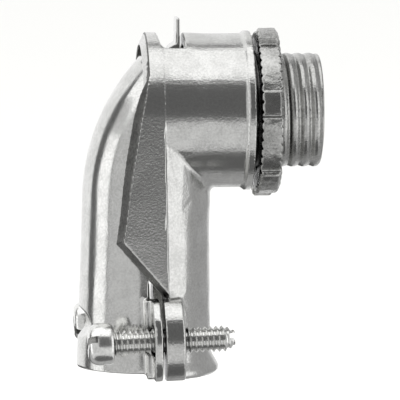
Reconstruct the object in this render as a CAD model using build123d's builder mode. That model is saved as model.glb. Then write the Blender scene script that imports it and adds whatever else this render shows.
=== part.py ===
from build123d import *

import os
from math import acos, asin, cos, degrees, radians, sin, tan

# All lengths are millimetres and all angles degrees. The origin is the centre of the
# shoulder that seats on the box. The hub runs out along +X and the conduit drops along -Z.

# Threaded hub and the round barrel behind it
hub_r = 10.67
hub_end_x = 13.1
hub_edge = 0.55
throat_r = 7.9
throat_x = -8.0
mouth_edge = 0.9
pitch = 2.05
thread_depth = 0.25
thread_mouth = 1.5
thread_root = 0.1
thread_start_x = 1.9
thread_runout = 0.7
barrel_r = 14.4
band_rise = 0.2
band_end_x = -11.3
band_slope = 2.6
bead_rise = 0.5
bead_width = 1.2
bead_slope = 0.5
barrel_back_x = -17.0
barrel_wall = 2.1
barrel_end_wall = 2.2

# Socket for the conduit, whose outside goes from an oval under the barrel to a circle
socket_x = -19.5
socket_top_a = 12.05
socket_low_a = 12.35
socket_low_b = 12.95
socket_low_z = -46.0
bore_x = -18.9
bore_r = 10.3
stop_z = -25.0
stop_r = 9.6
lip_rise = 1.35
lip_z = -49.0
lip_flare = 3.6
lip_band = 1.3
lip_edge = 0.6
corner_r = 0.9

# Cheeks and arch of the body, which close over the cover
cheek_wall = 2.3
cheek_foot_lap = 0.95
arch_rise = 0.3
arch_left_x = -19.6
arch_bevel = 1.1
notch_left_x = -16.9
notch_right_x = -12.57
notch_lean = 1.0
notch_high = 5.35
notch_sink = 0.95
notch_corner = 1.3
notch_fall = 6.5

# Ears and clamp screws
split_x = -17.05
ear_gap = 0.55
screw_gap = 0.24
screw_z = -41.2
screw_tilt = 1.9
body_ear = 3.65
body_ear_round = 0.5
cover_ear = 1.55
ear_root = 2.75
ear_root_y = 13.3
ear_root_round = 0.6
ear_nose_y = 19.9
ear_nose_r = 9.0
ear_up = 7.4
ear_down = 7.5
ear_corner_r = 1.2
screw_r = 2.41
near_shaft = 22.4
near_head_gap = 7.4
far_shaft = 21.0
far_head_gap = 8.2
screw_tip = 1.8
head_r = 3.9
head_height = 4.7
head_round = 0.9
slot_wide = 1.25
slot_deep = 1.7
near_slot_turn = -22.0
far_slot_turn = 30.0
flute_long = 1.7
flute_deep = 1.9
running = 0.05
slot_hole_slack = 0.5
slot_hole_drop = 0.85

# Cover, which bends round the outside of the elbow
cover_edge_gap = 2.7
cheek_gap = 0.4
bend_z = -16.9
bend_r = 39.3
bend_end_drop = 0.8
cover_top_a = 11.85
cover_low_a = 12.95
cover_low_b = 12.3
cover_low_z = -47.9
cover_in_gap = 0.75
cover_in_top_gap = 0.6
rib_z = -39.4
rib_r = 3.05
rib_wall = 1.0
tongue_y = 4.0
tongue_gap = 0.15
tongue_thick = 1.6
tongue_rise = 3.5
tongue_lap = 1.5
post_gap = 0.6
post_thick = 0.8
post_y = 3.0
post_proud = 2.9
post_flare = 1.5
post_round = 0.35

# Locknut on the hub
nut_gap = 0.94
nut_width = 4.2
nut_r = 15.2
nut_edge = 0.35
nut_mouth = 0.5
lug_r = 16.55
lug_width = 4.7
lug_slope = 0.75
lug_drop = 1.25
lug_count = 6
lug_phase = 10.5
nut_drop = 0.4

# Sizes and places that follow from those above
band_r = barrel_r + band_rise
bead_r = barrel_r + bead_rise
chamber_r = barrel_r - barrel_wall
chamber_end_x = -barrel_end_wall
arch_r = barrel_r + arch_rise
cheek_y = arch_r
cheek_in_y = cheek_y - cheek_wall
notch_z = chamber_r - notch_sink
socket_right_x = socket_x + socket_low_a
lip_r = socket_low_a + lip_rise
flare_z = lip_z + lip_flare
screw_y = socket_low_b + screw_r + screw_gap
ear_hole_r = screw_r + running
slot_hole_r = screw_r + slot_hole_slack
cover_edge_x = split_x - cover_edge_gap
cover_top_b = cheek_in_y - cheek_gap
cover_in_r = bore_r + cover_in_gap
cover_in_top_r = stop_r + cover_in_top_gap
bend_x = socket_x - cover_top_a + bend_r
rib_x = bore_x - bore_r - rib_wall - rib_r
tongue_z = notch_z - tongue_gap
bend_end_z = notch_z - bend_end_drop
bend_sweep = degrees(asin((bend_end_z - bend_z) / bend_r))
post_right_x = notch_right_x - post_gap
post_left_x = post_right_x - post_thick
post_z = arch_r + post_proud
nut_bore_r = hub_r + running + nut_drop
nut_right_x = nut_gap + nut_width

# The tongue starts at the end of the bend, or sooner where the split cuts the bend short
bend_cut_x = split_x - ear_gap - (bend_end_z - screw_z) * tan(radians(screw_tilt))
lap_angle = degrees(acos((bend_x - bend_cut_x + tongue_lap) / bend_r))
tongue_root_angle = radians(min(bend_sweep, lap_angle))
tongue_root_x = bend_x - bend_r * cos(tongue_root_angle)
tongue_root_z = bend_z + bend_r * sin(tongue_root_angle)

# Left edge of a cheek from the top down to its corner, as (distance left of the arch, z),
# on the outer face and on the inner face. The edge between them is one wide bevel.
outer_edge = [(0, 9.0), (1.05, 3.0), (2.4, -5.0), (3.4, -11.3), (3.9, -15.1), (5.05, -22.95)]
inner_edge = [(1.1, 9.0), (2.4, 3.4), (3.55, -3.2), (4.7, -10.2), (5.25, -15.2), (6.3, -23.5)]
cheek_foot_x = split_x + cheek_foot_lap
outer_foot_z = -32.85
inner_foot_z = -34.7

# The floor of the top notch falls away to the far side
notch_plane = Plane(
    origin=(0, 0, 0),
    x_dir=(1, 0, 0),
    z_dir=(0, -cos(radians(notch_fall)), sin(radians(notch_fall))),
)

# The ears and screws stand square to this plane, where the two halves part
cross = Plane(
    origin=(split_x, 0, screw_z),
    x_dir=(0, 1, 0),
    z_dir=(cos(radians(screw_tilt)), 0, sin(radians(screw_tilt))),
)


# Outline of the near ear in the plane of the split: one round nose, cut off level
with BuildSketch() as ear_outline:
    with Locations((ear_nose_r - ear_nose_y, 0)):
        Circle(ear_nose_r)
    with Locations((-bore_r, (ear_up - ear_down) / 2)):
        Rectangle(
            2 * ear_nose_r,
            ear_up + ear_down,
            align=(Align.MAX, Align.CENTER),
            mode=Mode.INTERSECT,
        )
    fillet(ear_outline.vertices().sort_by(Axis.X)[:2], ear_corner_r)


# Elbow body

with BuildPart() as turned:
    with BuildSketch(Plane.XZ):
        with BuildLine():
            Polyline(
                (barrel_back_x, 0),
                (barrel_back_x, band_r),
                (band_end_x, band_r),
                (band_end_x + band_slope, barrel_r),
                (-bead_width - bead_slope, barrel_r),
                (-bead_width, bead_r),
                (0, bead_r),
                (0, hub_r),
                (hub_end_x - hub_edge, hub_r),
                (hub_end_x, hub_r - hub_edge),
                (hub_end_x, 0),
                close=True,
            )
        make_face()
    revolve(axis=Axis.X)

with BuildPart() as socket:
    with BuildSketch(Plane.XY):
        with Locations((socket_x, 0)):
            Ellipse(socket_top_a, barrel_r)
    with BuildSketch(Plane.XY.offset(socket_low_z)):
        with Locations((socket_x, 0)):
            Ellipse(socket_low_a, socket_low_b)
    loft()

with BuildPart() as lip:
    with BuildSketch(Plane.XZ):
        with BuildLine():
            Polyline(
                (socket_x, lip_z),
                (socket_x, flare_z),
                (socket_right_x + 0.05, flare_z),
                (socket_x + lip_r, lip_z + lip_band),
                (socket_x + lip_r, lip_z + lip_edge),
                (socket_x + lip_r - lip_edge, lip_z),
                close=True,
            )
        make_face()
    revolve(axis=Axis((socket_x, 0, 0), (0, 0, 1)))

with BuildPart() as cheek:
    for side_y, edge, foot_z in (
        (cheek_in_y, inner_edge, inner_foot_z),
        (cheek_y, outer_edge, outer_foot_z),
    ):
        with BuildSketch(Plane.XZ.offset(side_y)):
            with BuildLine():
                left = [(arch_left_x - out, z) for out, z in edge]
                Spline(left)
                Polyline(
                    left[-1],
                    (cheek_foot_x, foot_z),
                    (barrel_back_x - 0.1, left[0][1]),
                    left[0],
                )
            make_face()
    loft()
    with BuildSketch(Plane.YZ):
        Circle(arch_r)
        Rectangle(4 * cheek_y, 4 * cheek_y, align=(Align.CENTER, Align.MAX))
    extrude(amount=4 * cheek_y, both=True, mode=Mode.INTERSECT)

with BuildPart() as arch:
    with BuildSketch(Plane.XY):
        with BuildLine():
            Polyline(
                (arch_left_x - arch_bevel, chamber_r),
                (arch_left_x, arch_r),
                (barrel_back_x + 0.1, arch_r),
                (barrel_back_x + 0.1, chamber_r),
                close=True,
            )
        make_face()
    revolve(axis=Axis.X, revolution_arc=180)

with BuildPart() as body_ears:
    with BuildSketch(cross):
        add(ear_outline.sketch)
    extrude(amount=body_ear)
    fillet(body_ears.faces().sort_by(Axis.X)[-1].edges(), body_ear_round)

# Thread of the hub: one right-hand groove that starts under the locknut and runs out
# through the mouth
with BuildPart() as groove:
    with BuildLine() as helix:
        Helix(
            pitch=pitch,
            height=hub_end_x + thread_runout - thread_start_x,
            radius=hub_r,
            center=(thread_start_x, 0, 0),
            direction=(1, 0, 0),
        )
    start = helix.edges()[0]
    outside = 0.05
    flank = (thread_mouth - thread_root) / 2 / thread_depth * (thread_depth + outside)
    with BuildSketch(
        Plane(
            origin=start @ 0,
            x_dir=(0, (start @ 0).Y, (start @ 0).Z),
            z_dir=start % 0,
        )
    ):
        with BuildLine():
            Polyline(
                (-thread_depth, -thread_root / 2),
                (-thread_depth, thread_root / 2),
                (outside, thread_root / 2 + flank),
                (outside, -thread_root / 2 - flank),
                close=True,
            )
        make_face()
    sweep(path=helix.line, is_frenet=True)

with BuildPart() as elbow_body:
    add(socket.part)
    add(lip.part)
    split(bisect_by=cross, keep=Keep.TOP)
    add(turned.part)
    mitre = elbow_body.edges().filter_by(
        lambda e: barrel_back_x < e.center().X < socket_x + socket_top_a + corner_r
        and -barrel_r - 0.1 < e.center().Z < -3
        and e.geom_type == GeomType.BSPLINE
    )
    fillet(mitre, corner_r)
    add(cheek.part)
    add(mirror(cheek.part, about=Plane.XZ))
    add(arch.part)
    add(body_ears.part)
    add(mirror(body_ears.part, about=Plane.XZ))
    # The round chamber, the way down to the conduit, the conduit's own bore and the
    # throat of the hub
    with Locations(Location((arch_left_x - barrel_r, 0, 0), (0, 90, 0))):
        Cylinder(
            chamber_r,
            chamber_end_x - arch_left_x + barrel_r,
            align=(Align.CENTER, Align.CENTER, Align.MIN),
            mode=Mode.SUBTRACT,
        )
    with BuildSketch(Plane.XY):
        with Locations((bore_x, 0)):
            Ellipse(bore_r, chamber_r)
    with BuildSketch(Plane.XY.offset(stop_z)):
        with Locations((bore_x, 0)):
            Circle(stop_r)
    loft(mode=Mode.SUBTRACT)
    with Locations((bore_x, 0, lip_z)):
        Cylinder(
            bore_r,
            stop_z - lip_z,
            align=(Align.CENTER, Align.CENTER, Align.MIN),
            mode=Mode.SUBTRACT,
        )
    with Locations(Location((throat_x, 0, 0), (0, 90, 0))):
        Cylinder(
            throat_r,
            2 * hub_end_x - throat_x,
            align=(Align.CENTER, Align.CENTER, Align.MIN),
            mode=Mode.SUBTRACT,
        )
    # Rounded mouths of the hub and of the conduit bore
    with BuildSketch(Plane.XZ):
        with BuildLine():
            Polyline(
                (hub_end_x - mouth_edge, throat_r - 0.01),
                (hub_end_x + 0.1, throat_r - 0.01),
                (hub_end_x + 0.1, throat_r + mouth_edge),
                (hub_end_x, throat_r + mouth_edge),
                close=True,
            )
        make_face()
    revolve(axis=Axis.X, mode=Mode.SUBTRACT)
    with BuildSketch(Plane.XZ):
        with BuildLine():
            Polyline(
                (bore_x + bore_r - 0.01, lip_z - 0.1),
                (bore_x + bore_r + mouth_edge, lip_z - 0.1),
                (bore_x + bore_r + mouth_edge, lip_z),
                (bore_x + bore_r - 0.01, lip_z + mouth_edge),
                close=True,
            )
        make_face()
    revolve(axis=Axis((bore_x, 0, 0), (0, 0, 1)), mode=Mode.SUBTRACT)
    # Notch across the top, where the end of the cover comes up
    with BuildSketch(notch_plane) as notch:
        with BuildLine():
            Polyline(
                (notch_left_x - notch_lean, notch_z + notch_high),
                (notch_left_x, notch_z),
                (notch_right_x, notch_z),
                (notch_right_x, notch_z + notch_high),
                close=True,
            )
        make_face()
        fillet(notch.vertices().group_by(Axis.X)[1], notch_corner)
    extrude(amount=2 * barrel_r, both=True, mode=Mode.SUBTRACT)
    with Locations(cross):
        with Locations((-screw_y, 0), (screw_y, 0)):
            Cylinder(ear_hole_r, 4 * body_ear, mode=Mode.SUBTRACT)
    add(groove.part, mode=Mode.SUBTRACT)

# Cover: solid outer form first, then hollowed

with BuildPart() as cover_form:
    with BuildSketch(Plane.XY.offset(cover_low_z)):
        with Locations((socket_x, 0)):
            Ellipse(cover_low_a, cover_low_b)
    with BuildSketch(Plane.XY.offset(bend_z)):
        with Locations((socket_x, 0)):
            Ellipse(cover_top_a, cover_top_b)
    loft()

with BuildPart() as cover_bend:
    with BuildSketch(Plane.XY.offset(bend_z)):
        with Locations((socket_x, 0)):
            Ellipse(cover_top_a, cover_top_b)
            Circle(cover_in_top_r, mode=Mode.SUBTRACT)
        with Locations((cover_edge_x, 0)):
            Rectangle(
                4 * cover_top_a,
                4 * cover_top_b,
                align=(Align.MAX, Align.CENTER),
                mode=Mode.INTERSECT,
            )
    revolve(axis=Axis((bend_x, 0, bend_z), (0, 1, 0)), revolution_arc=bend_sweep)
    split(bisect_by=cross.offset(-ear_gap), keep=Keep.BOTTOM)

with BuildPart() as rib:
    with Locations(Location((rib_x, 0, rib_z), (90, 0, 0))):
        Cylinder(rib_r + rib_wall, 4 * cover_low_b)
    add(cover_form.part, mode=Mode.INTERSECT)

with BuildPart() as cover_ears:
    with BuildSketch(cross.offset(-ear_gap)):
        add(ear_outline.sketch)
    extrude(amount=-cover_ear)
    with BuildSketch(cross.offset(-ear_gap)):
        with Locations((-ear_root_y, (ear_up - ear_down) / 2)):
            RectangleRounded(
                2 * (ear_root_y - bore_r),
                ear_up + ear_down,
                ear_root_round,
                align=(Align.MIN, Align.CENTER),
            )
    extrude(amount=-ear_root)
    # Slotted hole for the screw, and the way for the conduit
    with BuildSketch(cross):
        with Locations((-screw_y, -slot_hole_drop / 2)):
            SlotCenterToCenter(slot_hole_drop, 2 * slot_hole_r, 90)
    extrude(amount=4 * ear_root, both=True, mode=Mode.SUBTRACT)
    with Locations((socket_x, 0, screw_z)):
        Cylinder(cover_in_r, 4 * cover_in_r, mode=Mode.SUBTRACT)

with BuildPart() as tongue:
    with BuildSketch(Plane.XZ):
        with BuildLine():
            rise_x = tongue_root_x + tongue_rise
            foot = (post_left_x - post_flare, tongue_z)
            Polyline(
                foot,
                (rise_x, tongue_z),
                (tongue_root_x, tongue_root_z),
                (tongue_root_x + tongue_thick, tongue_root_z - tongue_thick),
                (rise_x + tongue_thick / 4, tongue_z - tongue_thick),
                (post_right_x, tongue_z - tongue_thick),
                (post_right_x, post_z),
                (post_left_x, post_z),
                (post_left_x, tongue_z + post_flare),
            )
            RadiusArc((post_left_x, tongue_z + post_flare), foot, -post_flare)
        make_face()
    extrude(amount=tongue_y, both=True)
    # The post is narrower than the tongue that it rises from
    with BuildSketch(Plane.YZ):
        with Locations((0, tongue_z)):
            Rectangle(4 * tongue_y, post_z, align=(Align.CENTER, Align.MIN))
            Rectangle(
                2 * post_y,
                post_z - tongue_z,
                align=(Align.CENTER, Align.MIN),
                mode=Mode.SUBTRACT,
            )
    extrude(amount=4 * barrel_r, both=True, mode=Mode.SUBTRACT)
    fillet(tongue.edges().group_by(Axis.Z)[-1], post_round)

with BuildPart() as clamp_cover:
    add(cover_form.part)
    with Locations((socket_x, 0, cover_low_z)):
        Cylinder(
            cover_in_r,
            stop_z - cover_low_z,
            align=(Align.CENTER, Align.CENTER, Align.MIN),
            mode=Mode.SUBTRACT,
        )
        Cylinder(
            cover_in_top_r,
            bend_z - cover_low_z,
            align=(Align.CENTER, Align.CENTER, Align.MIN),
            mode=Mode.SUBTRACT,
        )
    add(rib.part)
    with BuildSketch(Plane.XY):
        with Locations((cover_edge_x, 0)):
            Rectangle(
                4 * cover_low_a,
                4 * cover_low_b,
                align=(Align.MAX, Align.CENTER),
            )
    extrude(amount=-2 * lip_z, both=True, mode=Mode.INTERSECT)
    with Locations(Location((rib_x, 0, rib_z), (90, 0, 0))):
        Cylinder(rib_r, 4 * cover_low_b, mode=Mode.SUBTRACT)
    add(cover_bend.part)
    add(cover_ears.part)
    add(mirror(cover_ears.part, about=Plane.XZ))
    add(tongue.part)


def clamp_screw(side, slot_turn, shaft, head_gap):
    """One headed screw square to the split, on the near side (-1) or the far side (1)."""
    middle = cross.from_local_coords((side * screw_y, 0, 0))
    along = Plane(origin=middle, x_dir=cross.z_dir, z_dir=(0, -1, 0))
    across = Plane(origin=middle, x_dir=(0, 1, 0), z_dir=cross.z_dir)
    head_back = head_gap + ear_gap + cover_ear
    tip = shaft - head_back
    with BuildPart() as screw:
        with BuildSketch(along):
            with BuildLine():
                Polyline(
                    (-head_back - head_height, 0),
                    (-head_back - head_height, head_r - head_round),
                )
                RadiusArc(
                    (-head_back - head_height, head_r - head_round),
                    (-head_back - head_height + head_round, head_r),
                    head_round,
                )
                Polyline(
                    (-head_back - head_height + head_round, head_r),
                    (-head_back, head_r),
                    (-head_back, screw_r),
                    (tip - screw_tip, screw_r),
                    (tip, screw_r - screw_tip / 2),
                    (tip, 0),
                    (-head_back - head_height, 0),
                )
            make_face()
        revolve(axis=Axis(middle, cross.z_dir))
        # Driver slot
        with BuildSketch(across.offset(-head_back - head_height)):
            Rectangle(3 * head_r, slot_wide, rotation=slot_turn)
        extrude(amount=slot_deep, mode=Mode.SUBTRACT)
        # Cutting notch in the upper half of the tip
        with BuildSketch(across.offset(tip)):
            with Locations((0, screw_r)):
                Rectangle(3 * screw_r, flute_deep, align=(Align.CENTER, Align.MAX))
        extrude(amount=-flute_long, mode=Mode.SUBTRACT)
    return screw


near_clamp_screw = clamp_screw(-1, near_slot_turn, near_shaft, near_head_gap)
far_clamp_screw = clamp_screw(1, far_slot_turn, far_shaft, far_head_gap)

with BuildPart() as locknut:
    with BuildSketch(Plane.YZ.offset(nut_gap)):
        with PolarLocations(0, lug_count, start_angle=180 - lug_phase):
            Rectangle(lug_r, lug_width, align=(Align.MIN, Align.CENTER))
    extrude(amount=nut_width)
    with BuildSketch(Plane.XY):
        with BuildLine():
            Polyline(
                (nut_gap, 0),
                (nut_gap, lug_r - nut_edge),
                (nut_gap + nut_edge, lug_r - nut_edge / 3),
                (nut_right_x - lug_slope, lug_r - nut_edge / 3),
                (nut_right_x, lug_r - lug_drop),
                (nut_right_x, 0),
                close=True,
            )
        make_face()
    revolve(axis=Axis.X, mode=Mode.INTERSECT)
    with BuildSketch(Plane.XY):
        with BuildLine():
            Polyline(
                (nut_gap, 0),
                (nut_gap, nut_r - nut_edge),
                (nut_gap + nut_edge, nut_r),
                (nut_right_x - nut_edge, nut_r),
                (nut_right_x, nut_r - nut_edge),
                (nut_right_x, 0),
                close=True,
            )
        make_face()
    revolve(axis=Axis.X)
    with BuildSketch(Plane.XY):
        with BuildLine():
            Polyline(
                (nut_gap, 0),
                (nut_gap, nut_bore_r + nut_mouth),
                (nut_gap + nut_mouth, nut_bore_r),
                (nut_right_x - nut_mouth, nut_bore_r),
                (nut_right_x, nut_bore_r + nut_mouth),
                (nut_right_x, 0),
                close=True,
            )
        make_face()
    revolve(axis=Axis.X, mode=Mode.SUBTRACT)

elbow_body.part.label = "elbow_body"
clamp_cover.part.label = "clamp_cover"
near_clamp_screw.part.label = "near_clamp_screw"
far_clamp_screw.part.label = "far_clamp_screw"
# The locknut hangs on the top of the hub by the slack of its thread
hung_locknut = locknut.part.moved(Location((0, 0, -nut_drop)))
hung_locknut.label = "locknut"

os.makedirs("parts", exist_ok=True)
export_step(elbow_body.part, "parts/elbow_body.step")
export_step(clamp_cover.part, "parts/clamp_cover.step")
export_step(near_clamp_screw.part, "parts/near_clamp_screw.step")
export_step(far_clamp_screw.part, "parts/far_clamp_screw.step")
export_step(hung_locknut, "parts/locknut.step")
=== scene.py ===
from math import cos, pi, radians, sin

import bmesh
import bpy
from mathutils import Matrix, Vector, noise


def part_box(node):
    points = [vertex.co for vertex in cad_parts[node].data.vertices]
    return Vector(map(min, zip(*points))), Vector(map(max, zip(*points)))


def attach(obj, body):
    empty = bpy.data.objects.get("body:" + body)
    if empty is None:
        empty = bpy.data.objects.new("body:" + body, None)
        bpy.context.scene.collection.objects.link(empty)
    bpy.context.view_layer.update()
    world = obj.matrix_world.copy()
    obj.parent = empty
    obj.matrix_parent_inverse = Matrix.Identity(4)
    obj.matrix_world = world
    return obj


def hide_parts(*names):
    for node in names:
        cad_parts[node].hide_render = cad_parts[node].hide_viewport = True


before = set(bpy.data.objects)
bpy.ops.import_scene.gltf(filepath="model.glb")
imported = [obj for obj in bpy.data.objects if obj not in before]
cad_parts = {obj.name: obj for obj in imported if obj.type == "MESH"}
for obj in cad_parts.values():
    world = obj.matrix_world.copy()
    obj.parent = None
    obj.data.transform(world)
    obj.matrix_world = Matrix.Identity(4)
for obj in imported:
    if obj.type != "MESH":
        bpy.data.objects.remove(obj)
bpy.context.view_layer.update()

MM = 0.001

# Both faces of the locknut, in millimetres
nut_low, nut_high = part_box("locknut")
nut_left = nut_low.x / MM
nut_right = nut_high.x / MM

# Clamp screws: a number 10 thread-cutting screw, seven eighths of an inch long
screw_tilt = radians(1.9)
screw_middle_x = -17.05
screw_middle_z = -41.2
screw_side_y = 15.6
near_head_back = 9.5
near_tip_ahead = 12.9
far_head_back = 10.3
far_tip_ahead = 10.7
screw_head_height = 4.7
screw_head_r = 3.9
screw_head_dome = 2.2
screw_head_crown = 1.7
screw_taper_long = 1.8
screw_taper = 0.21
screw_r = 2.41
screw_root_r = 1.95
screw_pitch = 1.058
screw_slot_wide = 1.25
screw_slot_deep = 1.7
screw_notch_long = 1.05
screw_notch_low = -0.15
screw_notch_high = 1.1
screw_head_edge = 0.6
screw_head_soft = 0.2
screw_head_overlap = 0.4
screw_dome_steps = 8
screw_turn_steps = 26
screw_cutter_reach = 9
screw_sharp_angle = radians(35)
screw_weld_near = 0.01
near_slot_turn = -22
far_slot_turn = 30

# The threaded part of the hub. Nearer to the axis than hub_outside its bore stays smooth.
hub_from_x = 0.6
hub_outside = 9.7
hub_pitch = 2.05
hub_root_x = 3.95 - hub_pitch / 4
hub_ridge = 0.3

# The trimmed edge of the cheeks and the arch
trim_right_x = -15.8
trim_low = -35.5
trim_high = 14.0
trim_least = 0.2
trim_facing = -0.25
cheek_out = 14.68
cheek_in = 12.5

# Their bevel where it runs up from the cheek into the arch
bevel_x = -21.15
bevel_run = 0.63
bevel_rise = 0.194
bevel_from = -1.0
bevel_to = 32.5
ledge_in_r = 12
ledge_deep = 3.5
ledge_left_x = -26
ledge_cuts = 11

# Where the outside of the socket is clear of the forms round it
socket_x = -19.5
socket_a = 12.2
socket_b = 13.4
socket_low = -44.8
socket_high = -17.5
socket_skin = 0.92
socket_passes = 250
cheek_clear_x = -15.4
ear_clear_z = -31.8
ear_clear_x = -12.6

# Locknut: serrated on both rims, and hanging a little low on the hub
nut_rim_r = 15.2
nut_drop = 0.4
nut_teeth = 54
nut_left_tooth_deep = 0.6
nut_right_tooth_deep = 0.95
nut_tooth_wide = 0.95
nut_tooth_shift = 0.25
nut_notch_long = 2.4

# How finely each casting is remeshed, which is also about how round its edges come out
body_grain = 0.2
cover_grain = 0.25
nut_grain = 0.17

# Corners of a CAD mesh this near to each other become one
weld_near = 0.002

# Scales of the metal's patterns
grain_size = 0.42
stain_size = 3.5
scratch_size = 0.3
scratch_stretch = 1.7
# Reach of the painted crevice shade: the colour darkens where other surfaces lie this near
painted_shade_reach = 2.6

# Where on the mixed pattern the dark and the light tone lie, and how open a crevice must be for
# its painted shade to be full and to fade out
tone_dark_at = 0.38
tone_light_at = 0.6
tone_smooth_at = 0.62
painted_shade_full_at = 0.15
painted_shade_gone_at = 0.72

# The camera of the photo: 5 degrees to the left, 6.4 degrees up, from 813 mm
view_azimuth = radians(-5)
view_elevation = radians(6.4)
view_distance = 813
view_target = (-9.29, -1.07, -16.73)
view_width = 74.8
sensor_width = 36

# The floor and the light tent, in metres, and how bright they are
floor_z = -0.4
floor_half = 12
floor_wash = 3.2
backdrop_pale = 1.0
tent_dark = 0.13
tent_r = 2.0


# Mesh helpers

def mesh_object(name, bm):
    """A new object that holds this bmesh, at the origin."""
    mesh = bpy.data.meshes.new(name)
    bm.to_mesh(mesh)
    bm.free()
    made = bpy.data.objects.new(name, mesh)
    bpy.context.scene.collection.objects.link(made)
    return made


def baked(made):
    """The object with its modifiers turned into plain mesh."""
    graph = bpy.context.evaluated_depsgraph_get()
    graph.update()
    mesh = bpy.data.meshes.new_from_object(made.evaluated_get(graph))
    old = made.data
    made.modifiers.clear()
    made.data = mesh
    bpy.data.meshes.remove(old)
    return made


def welded(node):
    """A copy of a CAD node's mesh as one closed skin."""
    bm = bmesh.new()
    bm.from_mesh(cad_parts[node].data)
    bmesh.ops.remove_doubles(bm, verts=bm.verts, dist=weld_near * MM)
    return bm


def cut(made, tool, operation="DIFFERENCE"):
    """Cuts one mesh from another, or joins it on, and removes the tool."""
    boolean = made.modifiers.new("cut", "BOOLEAN")
    boolean.operation = operation
    boolean.solver = "EXACT"
    boolean.object = tool
    baked(made)
    bpy.data.objects.remove(tool)
    return made


def rounded(made, grain, passes, most):
    """Remeshes a casting evenly and relaxes it, so that every edge gets a small cast radius."""
    remesh = made.modifiers.new("even", "REMESH")
    remesh.mode = "VOXEL"
    remesh.voxel_size = grain * MM
    relax = made.modifiers.new("relax", "SMOOTH")
    relax.factor = 0.5
    relax.iterations = passes
    baked(made)
    count = 2 * len(made.data.polygons)
    if count > most:
        thin = made.modifiers.new("thin", "DECIMATE")
        thin.ratio = most / count
        baked(made)
    for face in made.data.polygons:
        face.use_smooth = True
    return made


def sunk(made, depth, size, seed):
    """Sinks the skin of a casting in slow waves, always inwards, so it stays in its box."""
    bm = bmesh.new()
    bm.from_mesh(made.data)
    bm.normal_update()
    shift = Vector((seed, -seed, 2 * seed))
    for vert in bm.verts:
        wave = noise.noise(vert.co / (size * MM) + shift)
        vert.co -= vert.normal * (0.5 + 0.5 * wave) * depth * MM
    bm.to_mesh(made.data)
    bm.free()
    return made


# Elbow casting

def on_socket(x, y, z):
    """Whether a point is on the outside of the socket, clear of cheeks, ears and lip."""
    right_of = ear_clear_x if z < ear_clear_z else cheek_clear_x
    out = Vector(((x - socket_x) / socket_a, y / socket_b)).length
    return socket_low < z < socket_high and x > right_of and out > socket_skin


def evened(made, inside, passes):
    """Relaxes the flat facets that a CAD mesh leaves on a wide curved face."""
    group = made.vertex_groups.new(name="evened")
    group.add([v.index for v in made.data.vertices if inside(*(v.co / MM))], 1, "REPLACE")
    relax = made.modifiers.new("evened", "SMOOTH")
    relax.factor = 0.5
    relax.iterations = passes
    relax.vertex_group = group.name
    baked(made)
    made.vertex_groups.clear()
    return made


def ledge_cutter(side):
    """A block that shaves the upper end of one cheek, so its bevel runs on into the arch."""
    bm = bmesh.new()
    bmesh.ops.create_cube(bm, size=1)
    bmesh.ops.subdivide_edges(bm, edges=bm.edges, cuts=ledge_cuts, use_grid_fill=True)
    for vert in bm.verts:
        angle = radians(bevel_from + (vert.co.z + 0.5) * (bevel_to - bevel_from))
        r = ledge_in_r + (vert.co.y + 0.5) * ledge_deep
        z = r * sin(angle)
        bevel = bevel_x - (cheek_out - r) * bevel_run + bevel_rise * z
        # The right face follows the bevel, and the left face is flat
        if vert.co.x > 0:
            x = bevel
        else:
            x = ledge_left_x + (vert.co.x + 0.5) * 2 * (bevel - ledge_left_x)
        vert.co = (x, side * r * cos(angle), z)
    bmesh.ops.scale(bm, vec=(MM, MM, MM), verts=bm.verts)
    bmesh.ops.recalc_face_normals(bm, faces=bm.faces)
    return mesh_object("ledge_cutter", bm)


# Locknut

def rim_cutter():
    """V notches round both rims of the locknut."""
    bm = bmesh.new()
    rims = (
        (1, nut_right, nut_right_tooth_deep),
        (-1, nut_left, nut_left_tooth_deep),
    )
    for side, face_x, deep in rims:
        for index in range(nut_teeth):
            angle = 2 * pi * (index + nut_tooth_shift * side) / nut_teeth
            notch = bmesh.ops.create_cone(
                bm,
                cap_ends=True,
                segments=3,
                radius1=nut_tooth_wide / 2,
                radius2=nut_tooth_wide / 2,
                depth=nut_notch_long,
            )["verts"]
            # A three-sided bar that lies along the radius with one edge towards the middle
            place = (
                Matrix.Translation((0, 0, -nut_drop))
                @ Matrix.Rotation(angle, 4, "X")
                @ Matrix.Translation((face_x, 0, nut_rim_r))
                @ Matrix.Diagonal((2 * deep / nut_tooth_wide, 1, 1, 1))
                @ Matrix.Rotation(0 if side < 0 else pi, 4, "Z")
            )
            bmesh.ops.transform(bm, matrix=place, verts=notch)
    bmesh.ops.scale(bm, vec=(MM, MM, MM), verts=bm.verts)
    bmesh.ops.recalc_face_normals(bm, faces=bm.faces)
    return mesh_object("rim_cutter", bm)


# Screws

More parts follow.
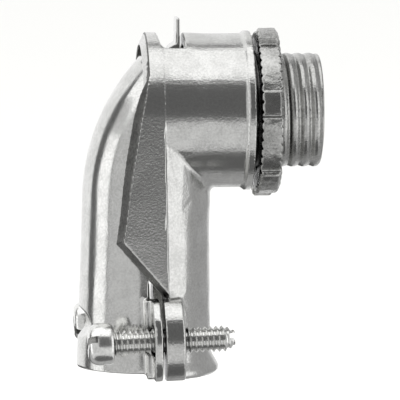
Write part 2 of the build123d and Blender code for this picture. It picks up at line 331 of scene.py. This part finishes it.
def threaded_shaft(head_back, tip_ahead):
    """A helical V thread along +X from the head to the tip, closed at both ends."""
    turns = int((head_back + tip_ahead) / screw_pitch) + 4
    start = -head_back - 1.5 * screw_pitch
    bm = bmesh.new()
    # One turn of the thread, as (share of the pitch, radius)
    profile = (
        (0.00, screw_root_r),
        (0.10, screw_root_r),
        (0.46, screw_r),
        (0.54, screw_r),
        (0.90, screw_root_r),
        (1.00, screw_root_r),
    )
    verts = [bm.verts.new((start + along * screw_pitch, 0, r)) for along, r in profile]
    edges = [bm.edges.new(pair) for pair in zip(verts, verts[1:])]
    bmesh.ops.spin(
        bm,
        geom=verts + edges,
        cent=(0, 0, 0),
        axis=(1, 0, 0),
        dvec=(screw_pitch / screw_turn_steps, 0, 0),
        angle=2 * pi * turns,
        steps=screw_turn_steps * turns,
        use_duplicate=False,
    )
    bmesh.ops.remove_doubles(bm, verts=bm.verts, dist=screw_weld_near)
    # Cut square at both ends and capped
    for plane_x, way in ((-head_back - screw_head_overlap, -1), (tip_ahead, 1)):
        bmesh.ops.bisect_plane(
            bm,
            geom=bm.verts[:] + bm.edges[:] + bm.faces[:],
            plane_co=(plane_x, 0, 0),
            plane_no=(way, 0, 0),
            clear_outer=True,
        )
    bmesh.ops.holes_fill(bm, edges=[e for e in bm.edges if e.is_boundary])
    # The last turns run down to a small point
    taper_from = tip_ahead - screw_taper_long
    for vert in bm.verts:
        beyond = vert.co.x - taper_from
        if beyond > 0:
            shrink = 1 - screw_taper * beyond
            vert.co.y *= shrink
            vert.co.z *= shrink
    bmesh.ops.recalc_face_normals(bm, faces=bm.faces)
    return bm


def screw_head(head_back):
    """The domed head, turned about +X."""
    back = -head_back - screw_head_height
    bm = bmesh.new()
    outline = [(back, 0), (back, screw_head_r - screw_head_crown)]
    for step in range(1, screw_dome_steps + 1):
        angle = pi / 2 * step / screw_dome_steps
        outline.append(
            (
                back + screw_head_dome * (1 - cos(angle)),
                screw_head_r - screw_head_crown * (1 - sin(angle)),
            )
        )
    outline += [
        (-head_back - screw_head_edge, screw_head_r),
        (-head_back - screw_head_soft, screw_head_r - screw_head_soft),
        (-head_back, screw_head_r - screw_head_edge),
        (-head_back, 0),
    ]
    verts = [bm.verts.new((x, 0, r)) for x, r in outline]
    edges = [bm.edges.new(pair) for pair in zip(verts, verts[1:])]
    bmesh.ops.spin(
        bm,
        geom=verts + edges,
        cent=(0, 0, 0),
        axis=(1, 0, 0),
        angle=2 * pi,
        steps=64,
        use_merge=True,
        use_duplicate=False,
    )
    bmesh.ops.remove_doubles(bm, verts=bm.verts, dist=weld_near)
    bmesh.ops.recalc_face_normals(bm, faces=bm.faces)
    return bm


def block(name, low, high, turn=0):
    """A box between two corners, turned about +X, to cut with."""
    bm = bmesh.new()
    bmesh.ops.create_cube(bm, size=1)
    size = [b - a for a, b in zip(low, high)]
    middle = [(a + b) / 2 for a, b in zip(low, high)]
    bmesh.ops.scale(bm, vec=size, verts=bm.verts)
    bmesh.ops.translate(bm, vec=middle, verts=bm.verts)
    turned = Matrix.Rotation(radians(turn), 3, "X")
    bmesh.ops.rotate(bm, cent=(0, 0, 0), matrix=turned, verts=bm.verts)
    return mesh_object(name, bm)


def clamp_screw(name, side, slot_turn, head_back, tip_ahead):
    """One screw at its place, with its driver slot and cutting notch."""
    made = mesh_object(name, threaded_shaft(head_back, tip_ahead))
    cut(made, mesh_object("head", screw_head(head_back)), "UNION")
    back = -head_back - screw_head_height
    half = screw_slot_wide / 2
    slot_low = (back - 1, -screw_cutter_reach, -half)
    slot_high = (back + screw_slot_deep, screw_cutter_reach, half)
    cut(made, block("slot", slot_low, slot_high, slot_turn))
    notch_low = (tip_ahead - screw_notch_long, -screw_cutter_reach, screw_notch_low)
    notch_high = (tip_ahead + 1, screw_cutter_reach, screw_notch_high)
    cut(made, block("notch", notch_low, notch_high))
    place = (
        Matrix.Scale(MM, 4)
        @ Matrix.Translation((screw_middle_x, side * screw_side_y, screw_middle_z))
        @ Matrix.Rotation(-screw_tilt, 4, "Y")
    )
    made.data.transform(place)
    for face in made.data.polygons:
        face.use_smooth = True
    made.data.set_sharp_from_angle(angle=screw_sharp_angle)
    return made


# Materials

def linear(code):
    """An sRGB hex colour as linear red, green, blue and alpha."""
    parts = [int(code[at:at + 2], 16) / 255 for at in (1, 3, 5)]
    return [p / 12.92 if p <= 0.04045 else ((p + 0.055) / 1.055) ** 2.4 for p in parts] + [1]


def add_node(tree, kind, links=(), **settings):
    """Adds a node, sets its properties and sockets, and links sources into its inputs."""
    node = tree.nodes.new(kind)
    for key, value in settings.items():
        if key in node.inputs:
            node.inputs[key].default_value = value
        elif key.replace("_", " ") in node.inputs:
            node.inputs[key.replace("_", " ")].default_value = value
        else:
            setattr(node, key, value)
    for socket, source in links:
        tree.links.new(source, node.inputs[socket])
    return node


def ramp(tree, source, stops):
    """A colour ramp on a source value, with (position, hex colour) stops."""
    node = add_node(tree, "ShaderNodeValToRGB", [("Fac", source)])
    elements = node.color_ramp.elements
    while len(elements) < len(stops):
        elements.new(0.5)
    for element, (at, code) in zip(elements, stops):
        element.position = at
        element.color = linear(code)
    return node.outputs["Color"]


def metal(name, light, dark, rough_low, rough_high, grain_deep, scratch_deep, painted_crevice_shade):
    """A zinc or steel surface: cast grain and tumbling scratches, with painted shade darkening
    its crevices.
    """
    made = bpy.data.materials.new(name)
    made.use_nodes = True
    tree = made.node_tree
    shader = tree.nodes["Principled BSDF"]
    place = add_node(tree, "ShaderNodeTexCoord").outputs["Object"]
    grain = add_node(
        tree, "ShaderNodeTexNoise", [("Vector", place)],
        Scale=1 / (grain_size * MM), Detail=3.0, Roughness=0.6,
    )
    stain = add_node(
        tree, "ShaderNodeTexNoise", [("Vector", place)],
        Scale=1 / (stain_size * MM), Detail=4.0, Roughness=0.55,
    )
    # Scratches: a noise drawn out along one slanting direction
    slanted = add_node(
        tree, "ShaderNodeMapping", [("Vector", place)],
        vector_type="TEXTURE", Rotation=(0.3, 0.8, 0), Scale=(1, 1, scratch_stretch),
    )
    scratch = add_node(
        tree, "ShaderNodeTexNoise", [("Vector", slanted.outputs["Vector"])],
        Scale=1 / (scratch_size * MM), Detail=2.0, Roughness=0.5,
    )
    tone = add_node(
        tree, "ShaderNodeMix", [("A", grain.outputs["Fac"]), ("B", stain.outputs["Fac"])],
        Factor=0.5,
    ).outputs["Result"]
    colour = ramp(tree, tone, [(tone_dark_at, dark), (tone_light_at, light)])
    # Painted shade: ambient occlusion darkens the colour in crevices and between parts, where
    # shadow falls
    near_by = add_node(
        tree, "ShaderNodeAmbientOcclusion", Distance=painted_shade_reach * MM, samples=12,
    ).outputs["AO"]
    shade = ramp(tree, near_by, [(painted_shade_full_at, painted_crevice_shade), (painted_shade_gone_at, "#FFFFFF")])
    painted_shade_mix = add_node(
        tree, "ShaderNodeMix", [(6, colour), (7, shade)], data_type="RGBA", blend_type="MULTIPLY",
    )
    painted_shade_mix.inputs["Factor"].default_value = 1
    tree.links.new(painted_shade_mix.outputs[2], shader.inputs["Base Color"])
    rough = add_node(tree, "ShaderNodeMapRange", [("Value", tone)])
    rough.inputs["From Min"].default_value = tone_dark_at
    rough.inputs["From Max"].default_value = tone_smooth_at
    rough.inputs["To Min"].default_value = rough_high
    rough.inputs["To Max"].default_value = rough_low
    tree.links.new(rough.outputs["Result"], shader.inputs["Roughness"])
    cast = add_node(
        tree, "ShaderNodeBump", [("Height", grain.outputs["Fac"])],
        Strength=1.0, Distance=grain_deep * MM,
    )
    scored = add_node(
        tree, "ShaderNodeBump",
        [("Height", scratch.outputs["Fac"]), ("Normal", cast.outputs["Normal"])],
        Strength=1.0, Distance=scratch_deep * MM,
    )
    tree.links.new(scored.outputs["Normal"], shader.inputs["Normal"])
    shader.inputs["Metallic"].default_value = 1.0
    return made


def ridged(made):
    """Adds the relief of the hub's helical thread to a material: round crests, sharp roots."""
    tree = made.node_tree
    place = add_node(tree, "ShaderNodeTexCoord").outputs["Object"]
    parts = add_node(tree, "ShaderNodeSeparateXYZ", [("Vector", place)])

    def maths(operation, first, second=0.0):
        node = add_node(tree, "ShaderNodeMath", operation=operation)
        for socket, value in zip(node.inputs, (first, second)):
            if isinstance(value, float):
                socket.default_value = value
            else:
                tree.links.new(value, socket)
        return node.outputs[0]

    angle = maths("ARCTAN2", parts.outputs["Z"], parts.outputs["Y"])
    turns = maths("MULTIPLY", angle, -0.5)
    along = maths("SUBTRACT", parts.outputs["X"], hub_root_x * MM)
    half_turns = maths("MULTIPLY", along, pi / (hub_pitch * MM))
    wave = maths("ABSOLUTE", maths("SINE", maths("ADD", half_turns, turns)))
    shader = tree.nodes["Principled BSDF"]
    under = shader.inputs["Normal"].links[0].from_socket
    ridges = add_node(
        tree, "ShaderNodeBump", [("Height", wave), ("Normal", under)],
        Strength=1.0, Distance=hub_ridge * MM,
    )
    tree.links.new(ridges.outputs["Normal"], shader.inputs["Normal"])
    return made


# Die-cast zinc, tumbled: bright grey, its grain and slanting scratches break up reflections
cast_zinc = metal(
    "cast_zinc_tumbled", light="#DCDCDA", dark="#C8C8C6", rough_low=0.15, rough_high=0.24,
    grain_deep=0.024, scratch_deep=0.013, painted_crevice_shade="#181818",
)
# The cover is the same alloy with a smoother cast skin and narrow white highlights
cover_zinc = metal(
    "cast_zinc_cover", light="#DEDEDC", dark="#CCCCCA", rough_low=0.12, rough_high=0.20,
    grain_deep=0.008, scratch_deep=0.004, painted_crevice_shade="#202020",
)
# The locknut is the same alloy, handled more and a little duller
nut_zinc = metal(
    "cast_zinc_locknut", light="#C6C6C4", dark="#9C9C9A", rough_low=0.18, rough_high=0.30,
    grain_deep=0.030, scratch_deep=0.025, painted_crevice_shade="#202020",
)
# The trimmed edge of the cheeks and the arch is rougher, and its colour is painted darker to
# stand for the dark surroundings it reflects
edge_zinc_painted_dark = metal(
    "cast_zinc_trimmed_painted_dark", light="#80807E", dark="#5A5A58", rough_low=0.26, rough_high=0.38,
    grain_deep=0.020, scratch_deep=0.030, painted_crevice_shade="#181818",
)
# The hub's thread is the same alloy, a little duller, with its ridges drawn crisp
hub_zinc = ridged(metal(
    "cast_zinc_thread", light="#C4C4C2", dark="#A8A8A6", rough_low=0.18, rough_high=0.28,
    grain_deep=0.006, scratch_deep=0.030, painted_crevice_shade="#080808",
))
# Zinc plated steel, brighter and smoother than the castings
plated_steel = metal(
    "zinc_plated_steel", light="#F4F4F2", dark="#DCDCDA", rough_low=0.16, rough_high=0.26,
    grain_deep=0.004, scratch_deep=0.003, painted_crevice_shade="#8C8C8C",
)


def dress(made, body, slot, material, *nodes):
    """Puts a finished piece on its CAD body in place of its nodes."""
    made.data.materials.clear()
    made.data.materials.append(material)
    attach(made, body)
    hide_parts(*nodes)
    return made


# The five pieces

elbow = mesh_object("elbow_casting", welded("elbow_body"))
cut(cut(elbow, ledge_cutter(-1)), ledge_cutter(1))
evened(rounded(elbow, body_grain, passes=2, most=190000), on_socket, socket_passes)
dress(sunk(elbow, depth=0.05, size=4, seed=3.1), "body", "cast_zinc", cast_zinc, "elbow_body")
elbow.data.materials.append(hub_zinc)
elbow.data.materials.append(edge_zinc_painted_dark)
for face in elbow.data.polygons:
    x, y, z = face.center / MM
    if x > hub_from_x and Vector((y, z)).length > hub_outside:
        face.material_index = 1
    # The trimmed edge narrows to a line as it climbs over the arch
    out = Vector((y, max(z, 0))).length
    share = min(1, max(trim_least, 1 - z / trim_high))
    inner = cheek_out - share * (cheek_out - cheek_in)
    # These bevel faces take the edge material, whose darker colour is a painted dark reflection
    faces_left = x < trim_right_x and face.normal.x < trim_facing
    if faces_left and z > trim_low and inner < out < cheek_out:
        face.material_index = 2

cover = mesh_object("cover_casting", welded("clamp_cover"))
rounded(cover, cover_grain, passes=6, most=150000)
dress(sunk(cover, depth=0.06, size=4, seed=7.7), "cover", "cast_zinc", cover_zinc, "clamp_cover")

nut = cut(mesh_object("locknut_casting", welded("locknut")), rim_cutter())
rounded(nut, nut_grain, passes=2, most=120000)
dress(sunk(nut, depth=0.12, size=1.2, seed=1.3), "nut", "nut_zinc", nut_zinc, "locknut")

near = clamp_screw("near_threaded_screw", -1, near_slot_turn, near_head_back, near_tip_ahead)
dress(near, "near_screw", "screw_steel", plated_steel, "near_clamp_screw")
far = clamp_screw("far_threaded_screw", 1, far_slot_turn, far_head_back, far_tip_ahead)
dress(far, "far_screw", "screw_steel", plated_steel, "far_clamp_screw")


# Floor, light tent and camera

def direction(across, up, over_top):
    """A direction from the object: across and up in degrees, seen from the camera's side."""
    a, u = radians(across), radians(up)
    if over_top:
        way = Vector((sin(a), -cos(a) * cos(u), cos(a) * sin(u)))
    else:
        way = Vector((sin(a) * cos(u), -cos(a) * cos(u), sin(u)))
    return Matrix.Rotation(view_azimuth, 3, "Z") @ way


def tent_panel(name, across, up, strength, over_top=False):
    """One glowing panel of the light tent, a patch of a sphere that only the metal mirrors."""
    bm = bmesh.new()
    bmesh.ops.create_grid(bm, x_segments=16, y_segments=16, size=0.5)
    for vert in bm.verts:
        a = across[0] + (vert.co.x + 0.5) * (across[1] - across[0])
        u = up[0] + (vert.co.y + 0.5) * (up[1] - up[0])
        vert.co = direction(a, u, over_top) * tent_r
    made = mesh_object(name, bm)
    glow = bpy.data.materials.new(name)
    glow.use_nodes = True
    glow.node_tree.nodes.clear()
    light = add_node(glow.node_tree, "ShaderNodeEmission", Strength=strength)
    add_node(glow.node_tree, "ShaderNodeOutputMaterial", [("Surface", light.outputs[0])])
    made.data.materials.append(glow)
    made.visible_camera = False
    made.visible_shadow = False


# The tent that the photo shows mirrored in the metal. What no panel covers is dark.
tent_panel("top_softbox", (-60, 26), (51, 112), 1.35, over_top=True)
tent_panel("top_wall", (26, 75), (51, 112), 0.5, over_top=True)
tent_panel("left_wall", (-68, -9), (-35, 34), 0.65)
tent_panel("left_softbox", (-98, -71), (-35, 17), 1.35)
tent_panel("left_wall_above", (-98, -68), (17, 34), 0.65)
tent_panel("right_softbox", (41, 83), (-35, 40), 1.2)
tent_panel("right_wall", (83, 155), (-35, 46), 0.43)
tent_panel("back_wall", (155, 180), (-35, 58), 0.85)
tent_panel("back_left_wall", (180, 243), (-12, 58), 1.05)
tent_panel("front_floor", (-9, 41), (-57, -10), 0.75)
tent_panel("left_floor", (-110, -9), (-57, -35), 0.75)
tent_panel("right_floor", (41, 110), (-57, -35), 0.75)
tent_panel("back_floor", (-60, 60), (-145, -100), 0.42, over_top=True)

bm = bmesh.new()
bmesh.ops.create_grid(bm, x_segments=1, y_segments=1, size=floor_half)
bmesh.ops.translate(bm, vec=(0, 0, floor_z), verts=bm.verts)
floor = mesh_object("floor", bm)
matte = bpy.data.materials.new("pale_matte_floor")
matte.use_nodes = True
matte.node_tree.nodes["Principled BSDF"].inputs["Base Color"].default_value = linear("#F4F4F2")
matte.node_tree.nodes["Principled BSDF"].inputs["Roughness"].default_value = 0.9
floor.data.materials.append(matte)
floor.visible_glossy = False
floor.visible_shadow = False

wash_data = bpy.data.lights.new("floor_wash", "SUN")
wash_data.energy = floor_wash
wash_data.angle = radians(60)
wash = bpy.data.objects.new("floor_wash", wash_data)
wash.visible_glossy = False
bpy.context.scene.collection.objects.link(wash)

world = bpy.data.worlds.new("studio")
bpy.context.scene.world = world
world.use_nodes = True
tree = world.node_tree
background = tree.nodes["Background"]
seen = add_node(tree, "ShaderNodeLightPath").outputs["Is Camera Ray"]
level = add_node(tree, "ShaderNodeMapRange", [("Value", seen)])
level.inputs["To Min"].default_value = tent_dark
level.inputs["To Max"].default_value = backdrop_pale
tree.links.new(level.outputs["Result"], background.inputs["Strength"])
background.inputs["Color"].default_value = linear("#FFFFFF")

camera_data = bpy.data.cameras.new("camera")
camera = bpy.data.objects.new("camera", camera_data)
bpy.context.scene.collection.objects.link(camera)
back = Vector(
    (
        sin(view_azimuth) * cos(view_elevation),
        -cos(view_azimuth) * cos(view_elevation),
        sin(view_elevation),
    )
)
camera.location = (Vector(view_target) + back * view_distance) * MM
camera.rotation_mode = "QUATERNION"
camera.rotation_quaternion = back.to_track_quat("Z", "Y")
camera_data.sensor_width = sensor_width
camera_data.lens = sensor_width * view_distance / view_width
camera_data.clip_start = 0.05
camera_data.clip_end = 40
bpy.context.scene.camera = camera
bpy.context.scene.view_settings.view_transform = "Standard"
